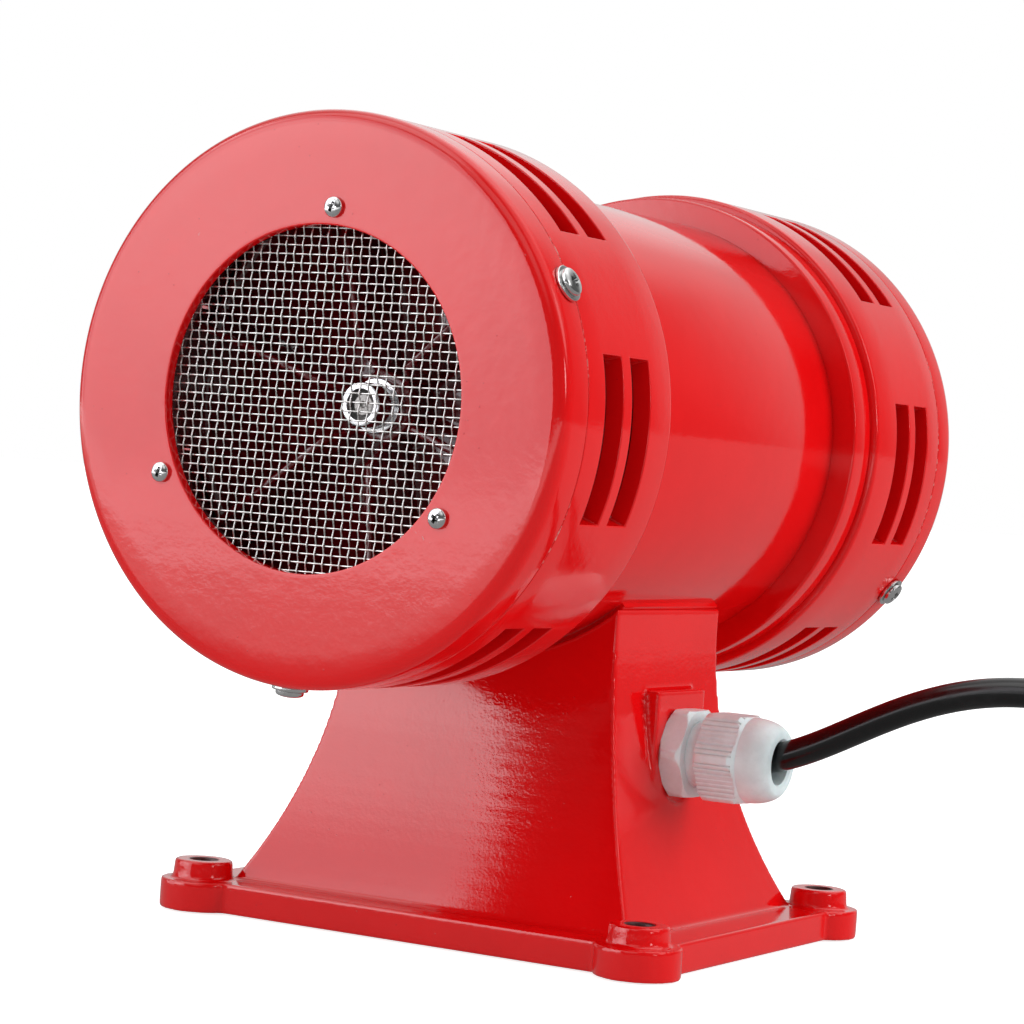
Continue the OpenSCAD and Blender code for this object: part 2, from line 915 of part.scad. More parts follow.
module gland_locknut() {
    color(nylon)
        difference() {
            along_gland(pad_back - 5 - fit) hexagon(gland_af - 1, 5);
            along_gland(pad_back - 8) cylinder(r = gland_thread_r + fit, h = 12);
        }
}

module gland_seal() {
    color(rubber)
        difference() {
            along_gland(cap_start + 1.5) cylinder(r = 7.5, h = 9.5);
            along_gland(cap_start) cylinder(r = cable_r + 0.15, h = 20);
        }
}

module gland_cap_nut() {
    dome_from = cap_hex_t;
    dome_len = cap_end - cap_start - cap_hex_t;
    outline = concat(
        [[8.9, 0], [11.4, 0], [11.4, dome_from]],
        [for (i = [1 : 10])
            let (a = 78 * i / 10)
                [7.4 + 4.0 * cos(a), dome_from + dome_len * sin(a) / sin(78)]],
        [[cap_mouth_r, cap_end - cap_start], [cap_mouth_r, dome_from + 3], [8.9, dome_from + 0.5]]
    );
    rib_pitch = 1.45;
    rib_count = 3;
    color(nylon)
        difference() {
            union() {
                along_gland(cap_start + 0.2)
                    difference() {
                        hexagon(gland_af, cap_hex_t - 1);
                        translate([0, 0, -1]) cylinder(r = 10, h = cap_hex_t + 2);
                    }
                along_gland(cap_start) rotate_extrude() polygon(outline);
            }
            // grip grooves on the flats
            along_gland(cap_start)
                for (a = sixths, i = [-rib_count : rib_count])
                    rotate(a)
                        translate([gland_af / 2 - 0.35, i * rib_pitch - 0.3, -1])
                            cube([3, 0.6, cap_hex_t - 0.5]);
        }
}

module power_cable() {
    inside = [[18, 0, gland_h - 1.2], [30, 0, gland_h], [45, 0, gland_h], [55, 0, gland_h]];
    outside = curve([for (p = concat([cable_start], cable_lift)) [p[0], 0, p[1]]], 32);
    color(rubber) wire(concat(inside, outside), cable_r, n = 24);
}

module cable_cores() {
    tip = [cable_lift[2][0], 0, cable_lift[2][1]];
    way = unit([cable_lift[2][0] - cable_lift[1][0], 0, cable_lift[2][1] - cable_lift[1][1]]);
    color([0.5, 0.3, 0.15])
        for (s = [-1, 1]) {
            off = [0, s * 1.6, 0];
            // tails at the free end
            wire([tip + off + 0.4 * way, tip + off * 1.4 + 6 * way, tip + off * 1.7 + 9 * way],
                1.2, side = [0, 0, 1], n = 12);
            // leads from the jacket up through the grommet into the motor
            wire(concat(
                curve([[17.9, s * 1.6, gland_h - 1.2], [6, s * 1.8, gland_h - 3],
                    [0, s * 1.8, gland_h + 4], [0, s * 1.8, gland_h + 20]], 12),
                curve([[0, s * 1.8, axis_h - 58], [0, s * 2, axis_h - 48],
                    [0, s * 14, axis_h - 48.5], [0, s * 24, axis_h - 46]], 12)),
                1.2, side = [1, 0.01, 0], n = 12);
        }
}

base_pedestal();
motor_tube();
front_end_shield();
rear_end_shield();
front_drum();
rear_drum();
front_cover();
rear_cover();
front_mesh();
rear_mesh();
front_mesh_ring();
rear_mesh_ring();
cover_face_screws();
cover_face_nuts();
side_screws();
side_washers();
drum_screws();
saddle_bolts();
wire_grommet();
front_bearing_outer_race();
rear_bearing_outer_race();
stator_core();
field_coils();
brush_plate();
brush_plate_screws();
brush_holders();
carbon_brushes();
brush_springs();
gland_body();
gland_locknut();
gland_seal();
gland_cap_nut();
power_cable();
cable_cores();
motor_shaft();
armature_core();
armature_winding();
commutator();
front_rotor();
rear_rotor();
front_hub_bush();
rear_hub_bush();
hub_set_screws();
front_bearing_inner_race();
rear_bearing_inner_race();
front_bearing_balls();
rear_bearing_balls();
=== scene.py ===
import json
import math
import random

import bmesh
import bpy
from mathutils import Matrix, Vector


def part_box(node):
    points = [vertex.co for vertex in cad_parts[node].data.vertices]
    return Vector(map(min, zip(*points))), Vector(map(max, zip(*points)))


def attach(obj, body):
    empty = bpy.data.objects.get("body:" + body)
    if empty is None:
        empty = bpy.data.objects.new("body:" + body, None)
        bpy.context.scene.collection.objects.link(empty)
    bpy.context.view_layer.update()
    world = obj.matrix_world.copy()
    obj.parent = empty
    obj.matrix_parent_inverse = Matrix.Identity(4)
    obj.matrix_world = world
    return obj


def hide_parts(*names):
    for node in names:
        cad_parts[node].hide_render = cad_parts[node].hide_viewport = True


# Alarm siren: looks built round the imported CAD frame. Shapes are worked out in millimetres and
# turned into metres when a mesh is made. `side` is -1 at the front end and 1 at the rear end;
# `depth` runs inwards from a cover's face, and angles run from +X towards +Z.

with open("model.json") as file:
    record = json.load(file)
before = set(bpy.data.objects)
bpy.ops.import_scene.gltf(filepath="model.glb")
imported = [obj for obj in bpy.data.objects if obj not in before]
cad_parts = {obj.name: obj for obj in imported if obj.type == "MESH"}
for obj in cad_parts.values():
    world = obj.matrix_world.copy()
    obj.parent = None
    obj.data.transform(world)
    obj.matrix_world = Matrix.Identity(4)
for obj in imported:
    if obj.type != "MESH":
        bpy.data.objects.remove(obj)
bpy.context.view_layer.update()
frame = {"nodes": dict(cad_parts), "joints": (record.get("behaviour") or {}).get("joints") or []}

MM = 0.001
X, Y, Z = 0, 1, 2
ENDS = {-1: "front", 1: "rear"}
THIRDS = (0, 120, 240)
SIDE_PAIR = (0, 240)
SIXTHS = (0, 60, 120, 180, 240, 300)


def span(node, axis):
    """Lowest and highest value of a CAD node along one axis, in millimetres."""
    low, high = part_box(node)
    return low[axis] / MM, high[axis] / MM


AXIS_H = frame["joints"][0]["pos_m"][2] / MM
HALF_LEN = span("rear_cover", Y)[1]
DRUM_R = span("rear_cover", X)[1]
TUBE_R = span("motor_tube", X)[1]
RIM_R = span("rear_end_shield", X)[1]
SKIRT = HALF_LEN - span("rear_cover", Y)[0]
SHEET = 3.0
SEAM_GAP = 0.12
GLAND_H = sum(span("gland_cap_nut", Z)) / 2
GLAND_REACH = 20.0
PAD_X = span("gland_body", X)[1] - GLAND_REACH


def depths(side, node):
    """Depth range of a CAD node at one end."""
    low, high = (HALF_LEN - side * v for v in span(node, Y))
    return min(low, high), max(low, high)


# ---- turning numbers into meshes ----

def at_end(side):
    """Maps (radius, angle, depth) to a point of the row frame."""
    def place(r, angle, depth):
        a = math.radians(angle)
        return Vector((r * math.cos(a), side * (HALF_LEN - depth), AXIS_H + r * math.sin(a)))
    return place


def along_gland(r, angle, x):
    """Maps (radius, angle, x) to a point round the gland's axis."""
    a = math.radians(angle)
    return Vector((x, r * math.cos(a), GLAND_H + r * math.sin(a)))


def fillet(points, radius=0.3, steps=4):
    """Rounds the corners of a closed outline. A point may carry its own radius."""
    out = []
    for i, point in enumerate(points):
        r = point[2] if len(point) > 2 else radius
        before = Vector(points[i - 1][:2])
        corner = Vector(point[:2])
        after = Vector(points[(i + 1) % len(points)][:2])
        if r <= 0:
            out.append(corner)
            continue
        u = (before - corner).normalized()
        v = (after - corner).normalized()
        half = math.acos(max(-1, min(1, u.dot(v)))) / 2
        reach = min(r / max(math.tan(half), 1e-3), 0.45 * (before - corner).length,
                    0.45 * (after - corner).length)
        start, end = corner + u * reach, corner + v * reach
        for k in range(steps + 1):
            s = k / steps
            out.append(start * (1 - s) ** 2 + corner * 2 * s * (1 - s) + end * s * s)
    return out


def turns(count):
    """Angles of `count` equal steps round the circle."""
    return [360 * k / count for k in range(count)]


def revolve(bm, outline, place, angles=None):
    """Adds a ring solid: a closed outline of (radius, depth) swept round the full circle."""
    angles = angles or turns(240)
    rows = [[bm.verts.new(place(p[0], a, p[1])) for p in outline] for a in angles]
    stitch(bm, rows, wrap_rows=True, wrap_columns=True)


def stitch(bm, rows, wrap_rows=False, wrap_columns=False):
    """Joins a grid of vertices with quads."""
    row_count = len(rows) if wrap_rows else len(rows) - 1
    column_count = len(rows[0]) if wrap_columns else len(rows[0]) - 1
    for i in range(row_count):
        a, b = rows[i], rows[(i + 1) % len(rows)]
        for j in range(column_count):
            k = (j + 1) % len(a)
            bm.faces.new((a[j], b[j], b[k], a[k]))


def sweep(bm, path, radius, sides, up=Vector((0, 1, 0))):
    """Adds a round wire along a path, closed at both ends."""
    rows = []
    for i, point in enumerate(path):
        ahead = path[min(i + 1, len(path) - 1)] - path[max(i - 1, 0)]
        u = ahead.cross(up).normalized()
        v = ahead.cross(u).normalized()
        ring = [2 * math.pi * k / sides for k in range(sides)]
        rows.append([bm.verts.new(point + radius * (math.cos(t) * u + math.sin(t) * v))
                     for t in ring])
    stitch(bm, rows, wrap_columns=True)
    bm.faces.new(rows[0])
    bm.faces.new(reversed(rows[-1]))


def piece(name, bm, material, body, stands_for, sharp=35, bevel=0, inside=None):
    """Turns a bmesh in millimetres into an object that rides on a body.

    It stands for one CAD node. Faces with material index 1 get the `inside` material.
    """
    bmesh.ops.recalc_face_normals(bm, faces=bm.faces)
    mesh = bpy.data.meshes.new(name)
    bm.to_mesh(mesh)
    bm.free()
    mesh.transform(Matrix.Scale(MM, 4))
    mesh.shade_smooth()
    mesh.set_sharp_from_angle(angle=math.radians(sharp))
    mesh.materials.append(material)
    if inside:
        mesh.materials.append(inside)
    obj = bpy.data.objects.new(name, mesh)
    bpy.context.scene.collection.objects.link(obj)
    if bevel:
        rounding = obj.modifiers.new("rounding", "BEVEL")
        rounding.width = bevel * MM
        rounding.segments = 3
        rounding.limit_method = "ANGLE"
        rounding.angle_limit = math.radians(40)
        rounding.harden_normals = True
    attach(obj, body)
    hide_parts(stands_for)


# ---- materials ----

class Shader:
    """A node material under construction. Lengths are in millimetres."""

    def __init__(self, name):
        self.material = bpy.data.materials.new(name)
        self.material.use_nodes = True
        self.tree = self.material.node_tree
        self.bsdf = self.tree.nodes["Principled BSDF"]
        self.coords = self.node("ShaderNodeTexCoord").outputs["Object"]

    def node(self, kind, **settings):
        made = self.tree.nodes.new(kind)
        for key, value in settings.items():
            setattr(made, key, value)
        return made

    def feed(self, socket, value):
        if isinstance(value, bpy.types.NodeSocket):
            self.tree.links.new(value, socket)
        else:
            socket.default_value = value

    def set(self, **values):
        for key, value in values.items():
            self.feed(self.bsdf.inputs[key.replace("_", " ")], value)

    def stretched(self, x, y, z):
        """Object coordinates scaled per axis, for streaks."""
        made = self.node("ShaderNodeMapping")
        self.feed(made.inputs["Vector"], self.coords)
        made.inputs["Scale"].default_value = (x, y, z)
        return made.outputs["Vector"]

    def noise(self, size, detail=2.0, rough=0.5, distort=0.0, coords=None):
        made = self.node("ShaderNodeTexNoise")
        self.feed(made.inputs["Vector"], coords or self.coords)
        made.inputs["Scale"].default_value = 1 / (size * MM)
        made.inputs["Detail"].default_value = detail
        made.inputs["Roughness"].default_value = rough
        made.inputs["Distortion"].default_value = distort
        return made.outputs["Fac"]

    def cells(self, size):
        made = self.node("ShaderNodeTexVoronoi")
        self.feed(made.inputs["Vector"], self.coords)
        made.inputs["Scale"].default_value = 1 / (size * MM)
        return made.outputs["Distance"]

    def remap(self, value, low, high, to_low=0.0, to_high=1.0):
        made = self.node("ShaderNodeMapRange")
        self.feed(made.inputs["Value"], value)
        for key, number in (("From Min", low), ("From Max", high), ("To Min", to_low),
                            ("To Max", to_high)):
            made.inputs[key].default_value = number
        return made.outputs["Result"]

    def math(self, operation, a, b=0.0):
        made = self.node("ShaderNodeMath", operation=operation)
        self.feed(made.inputs[0], a)
        self.feed(made.inputs[1], b)
        return made.outputs["Value"]

    def mix(self, factor, a, b):
        made = self.node("ShaderNodeMix", data_type="RGBA")
        self.feed(made.inputs[0], factor)
        self.feed(made.inputs[6], a)
        self.feed(made.inputs[7], b)
        return made.outputs[2]

    def axis(self, index):
        made = self.node("ShaderNodeSeparateXYZ")
        self.feed(made.inputs["Vector"], self.coords)
        return made.outputs[index]

    def pointiness(self):
        return self.node("ShaderNodeNewGeometry").outputs["Pointiness"]

    def bump(self, *layers):
        """Each layer is (height 0 to 1, height in millimetres)."""
        normal = None
        for height, size in layers:
            made = self.node("ShaderNodeBump")
            made.inputs["Strength"].default_value = 1.0
            made.inputs["Distance"].default_value = size * MM
            self.feed(made.inputs["Height"], height)
            if normal is not None:
                self.feed(made.inputs["Normal"], normal)
            normal = made.outputs["Normal"]
        self.feed(self.bsdf.inputs["Normal"], normal)


def rgb(r, g, b):
    return (r, g, b, 1.0)


def red_enamel(name, red=(0.80, 0.0035, 0.005), chips=0.54, peel=0.010, rough=0.07, waves=2.0,
               coat=0.25, seam=None, holes=None):
    """Glossy sprayed enamel: orange peel, dust nibs, faint mottling and chips on proud edges.

    `seam` is the distance along Y of a joint whose painted edges are flaked off in dots.
    `holes` is (x, y, radius) of bolt holes that repeat in all four quarters, darkened inside with
    painted shade.
    """
    s = Shader(name)
    deep = rgb(red[0] * 0.93, red[1] * 0.8, red[2] * 0.8)
    lively = rgb(red[0] * 1.04, red[1] * 1.4, red[2] * 1.4)
    mottle = s.remap(s.noise(34, 2, 0.5), 0.3, 0.7)
    colour = s.mix(mottle, deep, rgb(*red))
    colour = s.mix(s.remap(s.noise(7, 4, 0.6), 0.5, 0.8, 0, 0.35), colour, lively)
    specks = s.remap(s.cells(2.6), 0.05, 0.09, 1, 0)
    sparse = s.remap(s.noise(9, 1), 0.55, 0.60)
    nibs = s.math("MULTIPLY", specks, sparse)
    colour = s.mix(s.math("MULTIPLY", nibs, 0.35), colour, rgb(0.30, 0.004, 0.008))
    roughness = s.remap(s.noise(16, 4, 0.65), 0.3, 0.75, rough * 0.7, rough * 1.5)
    if chips:
        edge = s.remap(s.pointiness(), chips, chips + 0.04)
        patch = s.remap(s.noise(2.6, 3, 0.7), 0.62, 0.67)
        rare = s.remap(s.noise(34, 1), 0.50, 0.56)
        chip = s.math("MULTIPLY", s.math("MULTIPLY", edge, patch), rare)
        colour = s.mix(chip, colour, rgb(0.50, 0.26, 0.24))
        roughness = s.math("ADD", roughness, s.math("MULTIPLY", chip, 0.4))
    if seam:
        off_seam = s.math("ABSOLUTE", s.math("SUBTRACT", s.math("ABSOLUTE", s.axis(Y)), seam * MM))
        on_seam = s.remap(off_seam, 0.16 * MM, 0.34 * MM, 1, 0)
        flakes = s.math("MULTIPLY", s.remap(s.noise(1.1, 2, 0.6), 0.50, 0.56),
                        s.remap(s.noise(30, 1), 0.46, 0.54))
        colour = s.mix(s.math("MULTIPLY", on_seam, flakes), colour, rgb(0.75, 0.42, 0.38))
    # Bolt holes: painted shade, their insides darkened towards black and made rougher.
    if holes:
        across = [s.math("SUBTRACT", s.math("ABSOLUTE", s.axis(i)), holes[i] * MM) for i in (X, Y)]
        away = s.math("SQRT", s.math("ADD", *(s.math("MULTIPLY", v, v) for v in across)))
        hollow_shade = s.remap(away, holes[2] * MM, (holes[2] + 0.4) * MM, 1, 0)
        colour = s.mix(hollow_shade, colour, rgb(0.05, 0.002, 0.003))
        roughness = s.math("ADD", roughness, s.math("MULTIPLY", hollow_shade, 0.5))
    s.set(Base_Color=colour, Roughness=roughness, Coat_Weight=coat, Coat_Roughness=0.03)
    s.bsdf.inputs["IOR"].default_value = 1.5
    s.bump((s.noise(3.6, 1, 0.4), peel * waves), (s.noise(0.8, 2, 0.5), peel), (nibs, 0.03))
    return s.material


def bright_steel(name, tint=(0.74, 0.74, 0.735), rough=0.22, scratch=0.5):
    """Plated or drawn steel with fine scratches and small stains."""
    s = Shader(name)
    stain = s.remap(s.noise(1.7, 4, 0.65), 0.45, 0.75)
    dark = rgb(*(v * 0.72 for v in tint))
    lines = s.noise(0.6, 3, 0.6, coords=s.stretched(1, 0.08, 1))
    shade = s.mix(s.math("MULTIPLY", stain, scratch), rgb(*tint), dark)
    # Hollows (low pointiness) are darkened nearly to black: painted shade.
    hollow_shade = s.remap(s.pointiness(), 0.40, 0.48, 0.9, 0)
    shade = s.mix(hollow_shade, shade, rgb(0.03, 0.03, 0.03))
    s.set(Base_Color=shade, Metallic=1.0,
          Roughness=s.remap(lines, 0.3, 0.7, rough * 0.7, rough * 1.5))
    s.bump((lines, 0.004), (s.noise(0.25, 2), 0.0015))
    return s.material


def moulded(name, colour, rough, shine=0.5, soft=0.0, hollow_shade=0.0):
    """Moulded plastic or rubber: fine grain, slight changes of tone, handling marks and painted
    shade darkening its hollows.
    """
    grain, relief = 0.35, 0.004
    s = Shader(name)
    dark = rgb(*(v * 0.86 for v in colour))
    tone = s.remap(s.noise(6, 4, 0.6), 0.35, 0.7)
    marks = s.remap(s.noise(2.2, 4, 0.7, 0.6), 0.62, 0.74)
    shade = s.mix(tone, dark, rgb(*colour))
    shade = s.mix(s.math("MULTIPLY", marks, 0.25), shade, rgb(*(v * 0.7 for v in colour)))
    # Hollows such as rib grooves are darkened, by up to the given amount: painted shade.
    hollow = s.remap(s.pointiness(), 0.42, 0.495, hollow_shade, 0)
    shade = s.mix(hollow, shade, rgb(*(v * 0.35 for v in colour)))
    s.set(Base_Color=shade, Roughness=s.remap(s.noise(4, 3), 0.3, 0.7, rough * 0.85, rough * 1.2))
    s.bsdf.inputs["Specular IOR Level"].default_value = shine
    if soft:
        s.set(Subsurface_Weight=soft, Subsurface_Scale=0.002)
    s.bump((s.noise(grain, 2), relief), (s.noise(3.5, 2), relief * 2))
    return s.material


def cable_jacket():
    """Black PVC with lengthwise draw lines and dusty patches."""
    s = Shader("black_pvc")
    lines = s.noise(0.7, 3, 0.6, coords=s.stretched(0.05, 1, 1))
    dust = s.remap(s.noise(5, 4, 0.7), 0.5, 0.8)
    s.set(Base_Color=s.mix(s.math("MULTIPLY", dust, 0.35), rgb(0.002, 0.002, 0.002),
                           rgb(0.020, 0.022, 0.023)),
          Roughness=s.remap(dust, 0, 1, 0.20, 0.30))
    s.bump((lines, 0.006), (s.noise(3, 2), 0.010))
    return s.material


def banded(name, light, dark, pitch, axis, metallic, rough):
    """Stacked laminations or wound wire: fine bands across one axis."""
    s = Shader(name)
    place = s.axis(axis)
    wave = s.math("SINE", s.math("MULTIPLY", place, 2 * math.pi / (pitch * MM)))
    line = s.remap(wave, -1, 1)
    shade = s.mix(line, rgb(*dark), rgb(*light))
    shade = s.mix(s.remap(s.noise(5, 4, 0.6), 0.45, 0.8, 0, 0.4), shade, rgb(*dark))
    s.set(Base_Color=shade, Metallic=metallic, Roughness=s.remap(s.noise(2, 3), 0.3, 0.7,
                                                                 rough * 0.8, rough * 1.2))
    s.bump((line, pitch * 0.25), (s.noise(0.5, 2), 0.01))
    return s.material


def core_insulation():
    """Brown on one core and blue on the other."""
    s = Shader("core_insulation")
    pick = s.remap(s.axis(Y), -0.0001, 0.0001)
    shade = s.mix(pick, rgb(0.16, 0.06, 0.025), rgb(0.02, 0.07, 0.28))
    shade = s.mix(s.remap(s.noise(3, 4), 0.5, 0.8, 0, 0.3), shade, rgb(0.05, 0.04, 0.04))
    s.set(Base_Color=shade, Roughness=0.38)
    s.bump((s.noise(0.8, 2), 0.01))
    return s.material


paint = red_enamel("red_enamel", peel=0.016, seam=HALF_LEN - SKIRT)
tube_paint = red_enamel("red_enamel_on_tube", peel=0.014, chips=0)
drum_paint = red_enamel("red_enamel_on_drum", peel=0.035, waves=1.0, seam=HALF_LEN - SKIRT)
foot_paint = red_enamel("red_enamel_on_pedestal", chips=0.58, peel=0.034, rough=0.04,
                        waves=0.8, holes=(66, 55.5, 3.9))
# The same red enamel made far darker for faces inside the housing and for the rotors: painted
# shade standing for the shade within the drums.
shaded_inner_paint = red_enamel("red_enamel_inside_painted_shade", red=(0.15, 0.003, 0.006), chips=0, peel=0.02,
                         rough=0.10, coat=1.0)
zinc = bright_steel("zinc_plated_steel", rough=0.11)
wire_steel = bright_steel("woven_wire_steel", tint=(0.82, 0.805, 0.78), rough=0.27, scratch=0.25)
ground_steel = bright_steel("ground_bearing_steel", tint=(0.8, 0.8, 0.82), rough=0.12, scratch=0.2)
shaft_steel = bright_steel("dull_shaft_steel", tint=(0.40, 0.385, 0.37), rough=0.34)
# The grey nylon gets strong painted shade in its hollows.
nylon = moulded("grey_nylon", (0.80, 0.92, 0.935), 0.34, soft=0.06, hollow_shade=0.7)
rubber = moulded("black_rubber", (0.022, 0.022, 0.024), 0.55, shine=0.35)
carbon = moulded("carbon_brush", (0.05, 0.05, 0.053), 0.7, shine=0.25)
phenolic = moulded("phenolic_board", (0.22, 0.10, 0.045), 0.5)
brass = bright_steel("brass", tint=(0.78, 0.58, 0.26), rough=0.26)
laminations = banded("steel_laminations", (0.42, 0.42, 0.44), (0.16, 0.15, 0.15), 0.5, Y, 0.9, 0.4)
windings = banded("copper_windings", (0.62, 0.26, 0.10), (0.25, 0.08, 0.03), 0.7, Y, 0.8, 0.32)
copper = bright_steel("commutator_copper", tint=(0.78, 0.42, 0.26), rough=0.25)
jacket = cable_jacket()
cores = core_insulation()

FINISHES = {
    "stator_core": laminations, "armature_core": laminations,
    "field_coils": windings, "armature_winding": windings, "commutator": copper,
    "brush_plate": phenolic, "brush_holders": brass, "carbon_brushes": carbon,
    "brush_springs": zinc, "brush_plate_screws": zinc, "drum_screws": zinc,
    "saddle_bolts": zinc, "cover_face_nuts": zinc, "front_mesh_ring": zinc,
    "rear_mesh_ring": zinc, "hub_set_screws": zinc,
    "wire_grommet": rubber, "gland_seal": rubber, "gland_locknut": nylon,
    # The front end shield gets the far darker inside paint: painted shade.
    "cable_cores": cores, "front_end_shield": shaded_inner_paint,
    "front_bearing_outer_race": ground_steel, "rear_bearing_outer_race": ground_steel,
    "front_bearing_inner_race": ground_steel, "rear_bearing_inner_race": ground_steel,
    "front_bearing_balls": ground_steel, "rear_bearing_balls": ground_steel,
}
for node_name, finish in FINISHES.items():
    mesh = frame["nodes"][node_name].data
    mesh.materials.clear()
    mesh.materials.append(finish)


# ---- castings: the CAD solid with its edges softened ----

def cast_copy(node, material, body, voxel, passes):
    """Copies a CAD solid, remeshes it finely and relaxes it, so its edges round off as cast."""
    name = node + "_casting"
    mesh = frame["nodes"][node].data.copy()
    mesh.name = name
    mesh.materials.clear()
    mesh.materials.append(material)
    bm = bmesh.new()
    bm.from_mesh(mesh)
    bmesh.ops.remove_doubles(bm, verts=bm.verts, dist=1e-6)
    bm.to_mesh(mesh)
    bm.free()
    obj = bpy.data.objects.new(name, mesh)
    bpy.context.scene.collection.objects.link(obj)
    remesh = obj.modifiers.new("remesh", "REMESH")
    remesh.mode = "VOXEL"
    remesh.voxel_size = voxel * MM
    relax = obj.modifiers.new("relax", "SMOOTH")
    relax.factor = 0.5
    relax.iterations = passes
    evaluated = obj.evaluated_get(bpy.context.evaluated_depsgraph_get())
    obj.modifiers.clear()
    obj.data = bpy.data.meshes.new_from_object(evaluated)
    obj.data.shade_smooth()
    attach(obj, body)
    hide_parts(node)


# ---- round housing parts ----

def cover(side):
    """Shallow pressed cap with a rolled edge and a round opening."""
    name = ENDS[side] + "_cover"
    opening = 42.0
    lip = DRUM_R - SHEET - 0.02
    corners = [(opening, 0, 0.4), (opening + 1, 0, 0), (DRUM_R - 9, 0, 0), (DRUM_R, 0, 3.8),
               (DRUM_R, SKIRT - SEAM_GAP, 0.35), (lip, SKIRT - SEAM_GAP, 0.2), (lip, SHEET, 0.4),
               (opening, SHEET, 0.3)]
    bm = bmesh.new()
    revolve(bm, fillet(corners, steps=7), at_end(side))
    piece(name + "_pressing", bm, paint, "housing", name, sharp=60)


SLOT_DEPTHS = ((19.7, 29.0), (33.5, 43.1))
SLOT_ANGLE = 33.7
SLOT_PHASE = {-1: -4.2, 1: -5.8}
SLOT_STEPS = 20
LAND_STEPS = 16


def slotted_angles(phase):
    """Angles round a drum, closer together at the slots' ends, and which gaps are slots."""
    angles = []
    for a in SIXTHS:
        start = phase + a - SLOT_ANGLE / 2
        angles += [start + SLOT_ANGLE * k / SLOT_STEPS for k in range(SLOT_STEPS)]
        angles += [start + SLOT_ANGLE + (60 - SLOT_ANGLE) * k / LAND_STEPS
                   for k in range(LAND_STEPS)]
    return angles, [k % (SLOT_STEPS + LAND_STEPS) < SLOT_STEPS for k in range(len(angles))]


def with_depths(outline, wall_r, cuts):
    """Adds a vertex at each cut depth along a straight wall of the outline."""
    out = []
    for i, point in enumerate(outline):
        out.append(point)
        after = outline[(i + 1) % len(outline)]
        if abs(point[0] - wall_r) < 1e-3 and abs(after[0] - wall_r) < 1e-3:
            inside = [c for c in cuts if min(point[1], after[1]) < c < max(point[1], after[1])]
            inside.sort(reverse=after[1] < point[1])
            out += [Vector((wall_r, c)) for c in inside]
    return out


def drum(side):
    """Slotted drum: the slots are left out of the swept wall and their sides are closed."""
    name = ENDS[side] + "_drum"
    first, last = depths(side, name)
    wall = 5.0
    flange_r, flange_t = 46.0, 4.0
    inner = DRUM_R - wall
    spigot = DRUM_R - SHEET - 0.04
    corners = [(inner, first, 0.3), (spigot, first, 0.3), (spigot, SKIRT + SEAM_GAP, 0.1),
               (DRUM_R, SKIRT + SEAM_GAP, 0.3), (DRUM_R, last, 1.6), (flange_r, last, 0.4),
               (flange_r, last - flange_t, 0.4), (inner, last - flange_t, 1.5)]
    cuts = [d for pair in SLOT_DEPTHS for d in pair]
    outline = with_depths(with_depths(fillet(corners), DRUM_R, cuts), inner, cuts)
    angles, is_slot = slotted_angles(SLOT_PHASE[side])
    place = at_end(side)
    bm = bmesh.new()
    rows = [[bm.verts.new(place(p[0], a, p[1])) for p in outline] for a in angles]

    def column(wall_r, depth):
        return next(j for j, p in enumerate(outline)
                    if abs(p[0] - wall_r) < 1e-3 and abs(p[1] - depth) < 1e-3)

    gaps = [(column(DRUM_R, near), column(DRUM_R, far), column(inner, near), column(inner, far))
            for near, far in SLOT_DEPTHS]
    open_columns = {gap[0] for gap in gaps} | {gap[3] for gap in gaps}
    for i, row in enumerate(rows):
        after = rows[(i + 1) % len(rows)]
        for j in range(len(row)):
            k = (j + 1) % len(row)
            if not (is_slot[i] and j in open_columns):
                bm.faces.new((row[j], after[j], after[k], row[k]))
        starts = is_slot[i] and not is_slot[i - 1]
        ends = is_slot[i - 1] and not is_slot[i]
        for out_near, out_far, in_near, in_far in gaps:
            if is_slot[i]:
                bm.faces.new((row[out_near], after[out_near], after[in_near], row[in_near]))
                bm.faces.new((row[out_far], after[out_far], after[in_far], row[in_far]))
            if starts or ends:
                bm.faces.new((row[out_near], row[out_far], row[in_far], row[in_near]))
    # Faces on the inner wall get the second, far darker paint: painted shade inside the drum.
    for face in bm.faces:
        if all(math.hypot(v.co.x, v.co.z - AXIS_H) < inner + 0.05 for v in face.verts):
            face.material_index = 1
    piece(name + "_casting", bm, drum_paint, "housing", name, sharp=180, bevel=0.4,
          inside=shaded_inner_paint)


def motor_tube():
    """Drawn tube with the saddle pad under it."""
    wall = 4.0
    front, rear = span("motor_tube", Y)
    pad_half_x = 41.3
    pad_half_y = 28.0
    pad_t = 1.3
    outline = fillet([(TUBE_R, front), (TUBE_R, rear), (TUBE_R - wall, rear),
                      (TUBE_R - wall, front)])

    def place(r, angle, y):
        a = math.radians(angle)
        return Vector((r * math.cos(a), y, AXIS_H + r * math.sin(a)))

    bm = bmesh.new()
    revolve(bm, outline, place)
    reach = math.degrees(math.asin(pad_half_x / (TUBE_R + pad_t)))
    steps = 60
    sunk = 1
    section = fillet([(TUBE_R + pad_t, -pad_half_y, 0.5), (TUBE_R + pad_t, pad_half_y, 0.5),
                      (TUBE_R - sunk, pad_half_y, 0), (TUBE_R - sunk, -pad_half_y, 0)])
    rows = [[bm.verts.new(place(p[0], -90 - reach + 2 * reach * k / steps, p[1])) for p in section]
            for k in range(steps + 1)]
    stitch(bm, rows, wrap_columns=True)
    bm.faces.new(rows[0])
    bm.faces.new(rows[-1])
    piece("motor_tube_body", bm, tube_paint, "housing", "motor_tube", sharp=40)


